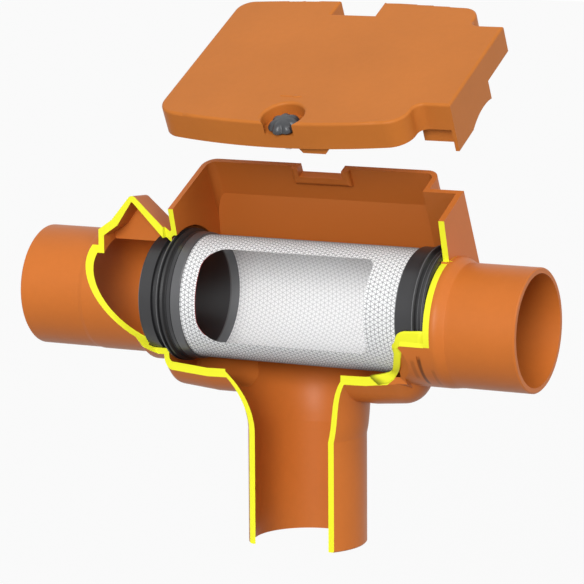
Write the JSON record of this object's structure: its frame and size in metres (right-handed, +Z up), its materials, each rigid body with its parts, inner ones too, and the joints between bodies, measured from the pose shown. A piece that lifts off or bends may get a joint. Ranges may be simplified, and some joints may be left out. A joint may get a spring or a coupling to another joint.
{
  "type": "rainwater tank filter",
  "caption": "Cutaway inline rainwater filter: leaning inspection box on a drain pipe, with a screen drum inside, a drop outlet and a lifted lid with a locking knob.",
  "frame": {"origin": "on the axis of the inlet spigot, at its open end", "axes": "+X with the water, from the inlet spigot to the outlet spigot; +Y to the back, away from the cut-away side; +Z up"},
  "size_m": [0.49, 0.198, 0.4783],
  "materials": {
    "housing_plastic": "satin",
    "lid_plastic": "satin",
    "screen_steel": "woven",
    "band_steel": "satin",
    "ring_plastic": "matt",
    "seal_rubber": "matt",
    "gasket_rubber": "matt",
    "knob_plastic": "matt",
    "arm_plastic": "matt",
    "nut_steel": "satin"
  },
  "bodies": {
    "filter": {"housing": "housing_plastic", "screen_tube": "screen_steel", "inlet_end_ring": "ring_plastic", "inlet_seal": "seal_rubber", "screen_band": "band_steel", "outlet_end_ring": "ring_plastic", "outlet_seal": "seal_rubber", "lid": "lid_plastic", "lid_gasket": "gasket_rubber", "knob_seal": "gasket_rubber"},
    "knob": {"lid_knob": "knob_plastic", "latch_arm": "arm_plastic", "arm_nut": "nut_steel"}
  },
  "joints": [
    {"name": "knob_turn", "type": "hinge", "parent": "filter", "child": "knob", "pos_m": [0.2685, -0.048, 0.1668], "axis": [0, -0.454, 0.891], "range_deg": [0, 90]}
  ]
}
